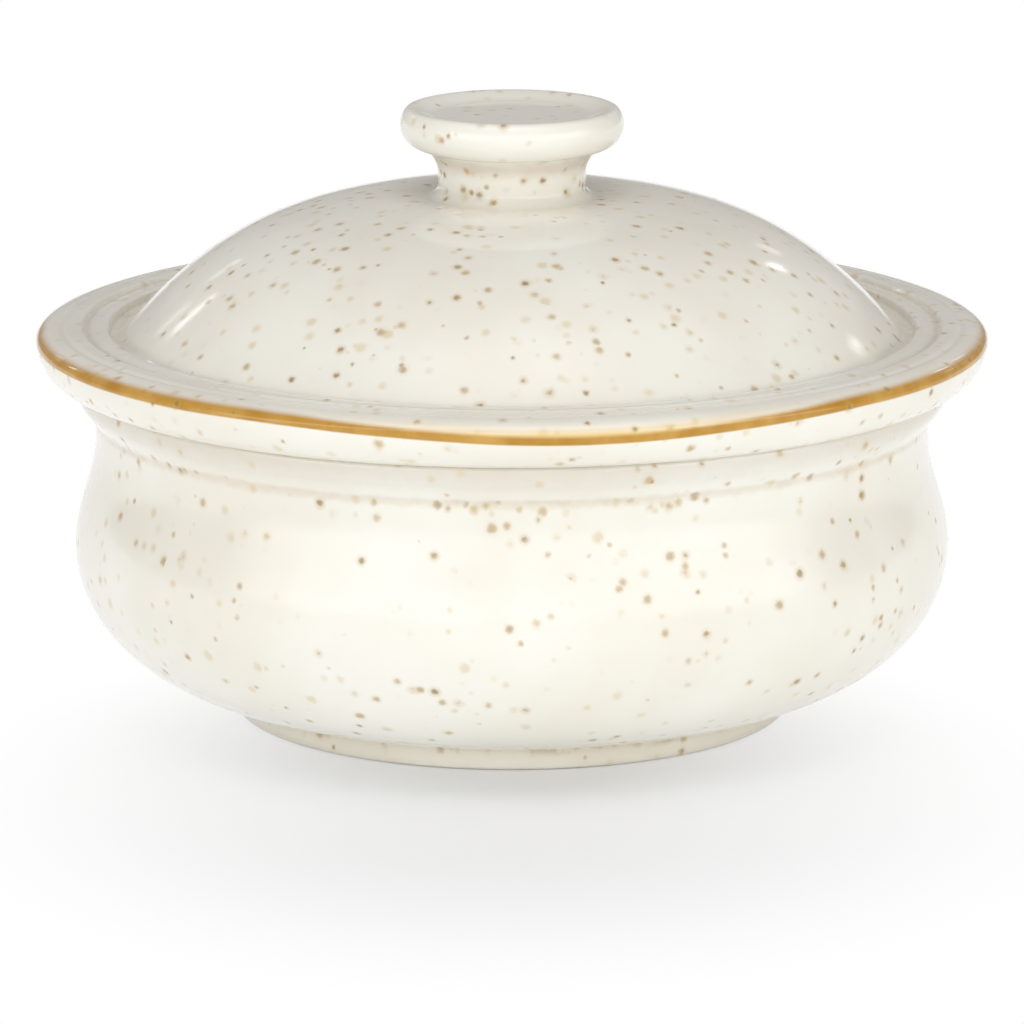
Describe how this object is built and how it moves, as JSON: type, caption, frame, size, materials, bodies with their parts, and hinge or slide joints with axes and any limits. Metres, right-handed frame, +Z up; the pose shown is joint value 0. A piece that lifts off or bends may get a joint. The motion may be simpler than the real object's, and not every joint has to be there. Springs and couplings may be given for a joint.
{
  "type": "lidded casserole dish",
  "caption": "Round stoneware casserole bowl on a foot ring, with a domed lift-off lid that overhangs its collar and has a dished knob, in speckled cream glaze with an ochre rim line.",
  "frame": {"origin": "centre of the foot ring's standing face", "axes": "+Z up along the axis that both turned pieces share; X and Y are free, as the dish is round"},
  "size_m": [0.1516, 0.1516, 0.0972],
  "materials": {
    "bowl_glaze": "glossy cream glaze with brown and ochre specks, bare clay on the standing face",
    "lid_glaze": "glossy cream glaze with brown and ochre specks and a hand-painted ochre line round the rim"
  },
  "bodies": {
    "bowl": {"bowl": "bowl_glaze"},
    "lid": {"lid": "lid_glaze"}
  },
  "joints": [
    {"name": "lid_lift", "type": "slide", "parent": "bowl", "child": "lid", "axis": [0, 0, 1], "range_m": [0, 0.12]}
  ]
}
